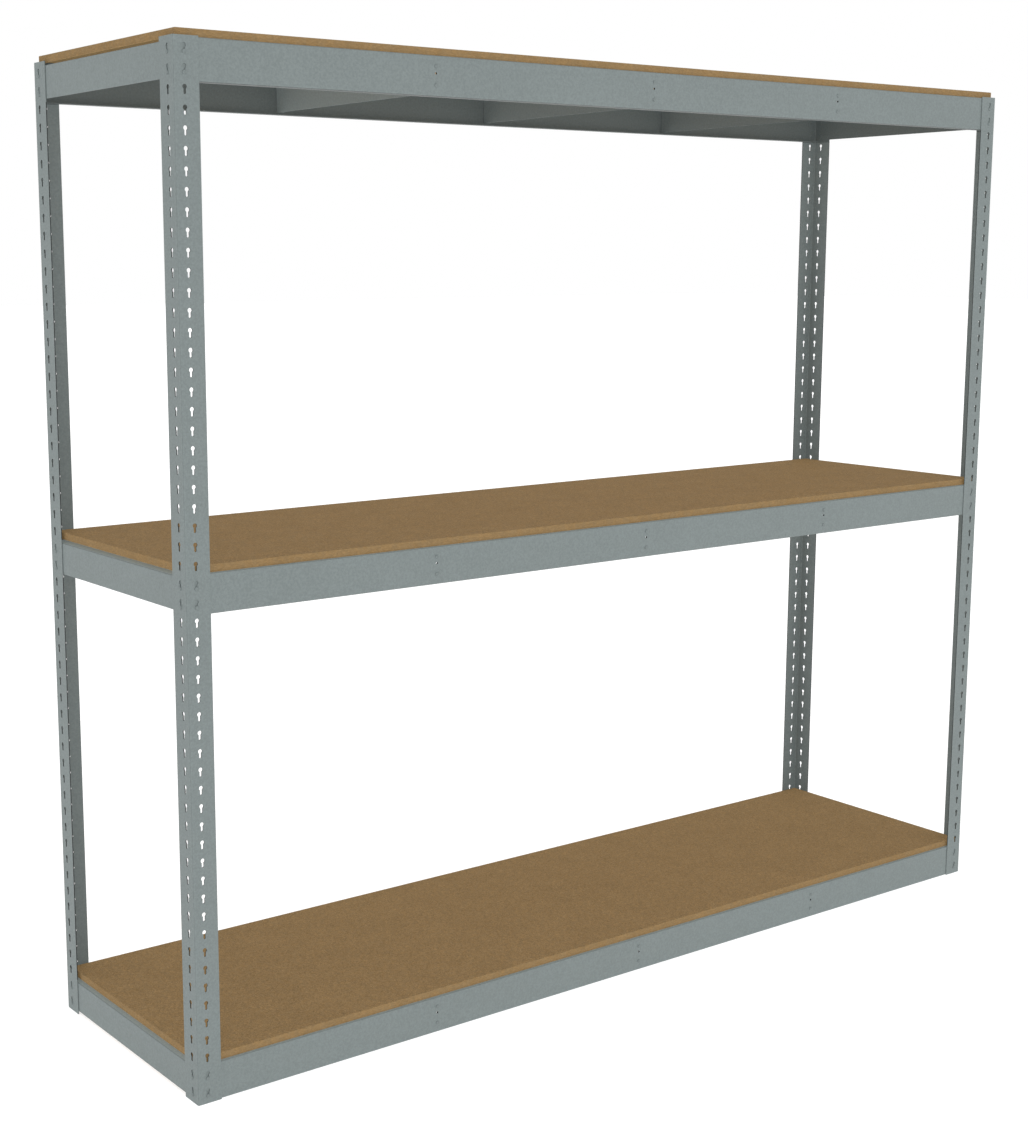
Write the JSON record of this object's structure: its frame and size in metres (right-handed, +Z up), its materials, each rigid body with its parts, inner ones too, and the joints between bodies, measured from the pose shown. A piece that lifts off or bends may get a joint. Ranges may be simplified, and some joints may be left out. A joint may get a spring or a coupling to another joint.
{
  "type": "boltless shelving unit",
  "caption": "Free-standing steel storage rack with keyhole angle posts, hooked riveted beams, front-to-back supports and loose particleboard decks.",
  "frame": {"origin": "on the floor, at the middle of the unit's width and depth", "axes": "+X along the width to the right, +Y from the front to the back, +Z up"},
  "size_m": [2.4602, 0.631, 2.1564],
  "materials": {
    "painted_steel": "satin grey paint",
    "rivet_steel": "satin grey paint over a rivet head",
    "particleboard": "bare pressed particleboard, sanded faces and sawn edges"
  },
  "bodies": {
    "posts": {"post_front_left": "painted_steel", "post_front_right": "painted_steel", "post_back_left": "painted_steel", "post_back_right": "painted_steel"},
    "lower_frame": {"beam_front_lower": "painted_steel", "beam_back_lower": "painted_steel", "end_beam_left_lower": "painted_steel", "end_beam_right_lower": "painted_steel", "support_left_lower": "painted_steel", "support_centre_lower": "painted_steel", "support_right_lower": "painted_steel", "rivets_front_lower": "rivet_steel", "rivets_back_lower": "rivet_steel", "rivets_left_lower": "rivet_steel", "rivets_right_lower": "rivet_steel", "support_rivets_lower": "rivet_steel"},
    "lower_board": {"deck_lower": "particleboard"},
    "middle_frame": {"beam_front_middle": "painted_steel", "beam_back_middle": "painted_steel", "end_beam_left_middle": "painted_steel", "end_beam_right_middle": "painted_steel", "support_left_middle": "painted_steel", "support_centre_middle": "painted_steel", "support_right_middle": "painted_steel", "rivets_front_middle": "rivet_steel", "rivets_back_middle": "rivet_steel", "rivets_left_middle": "rivet_steel", "rivets_right_middle": "rivet_steel", "support_rivets_middle": "rivet_steel"},
    "middle_board": {"deck_middle": "particleboard"},
    "upper_frame": {"beam_front_upper": "painted_steel", "beam_back_upper": "painted_steel", "end_beam_left_upper": "painted_steel", "end_beam_right_upper": "painted_steel", "support_left_upper": "painted_steel", "support_centre_upper": "painted_steel", "support_right_upper": "painted_steel", "rivets_front_upper": "rivet_steel", "rivets_back_upper": "rivet_steel", "rivets_left_upper": "rivet_steel", "rivets_right_upper": "rivet_steel", "support_rivets_upper": "rivet_steel"},
    "upper_board": {"deck_upper": "particleboard"}
  },
  "joints": [
    {"name": "lower_frame_unhook", "type": "slide", "parent": "posts", "child": "lower_frame", "axis": [0, 0, 1], "range_m": [0, 0.0118]},
    {"name": "lower_board_lift", "type": "slide", "parent": "lower_frame", "child": "lower_board", "axis": [0, 0, 1], "range_m": [0, 0.9]},
    {"name": "middle_frame_unhook", "type": "slide", "parent": "posts", "child": "middle_frame", "axis": [0, 0, 1], "range_m": [0, 0.0118]},
    {"name": "middle_board_lift", "type": "slide", "parent": "middle_frame", "child": "middle_board", "axis": [0, 0, 1], "range_m": [0, 0.9]},
    {"name": "upper_frame_unhook", "type": "slide", "parent": "posts", "child": "upper_frame", "axis": [0, 0, 1], "range_m": [0, 0.0118]},
    {"name": "upper_board_lift", "type": "slide", "parent": "upper_frame", "child": "upper_board", "axis": [0, 0, 1], "range_m": [0, 0.3]}
  ]
}
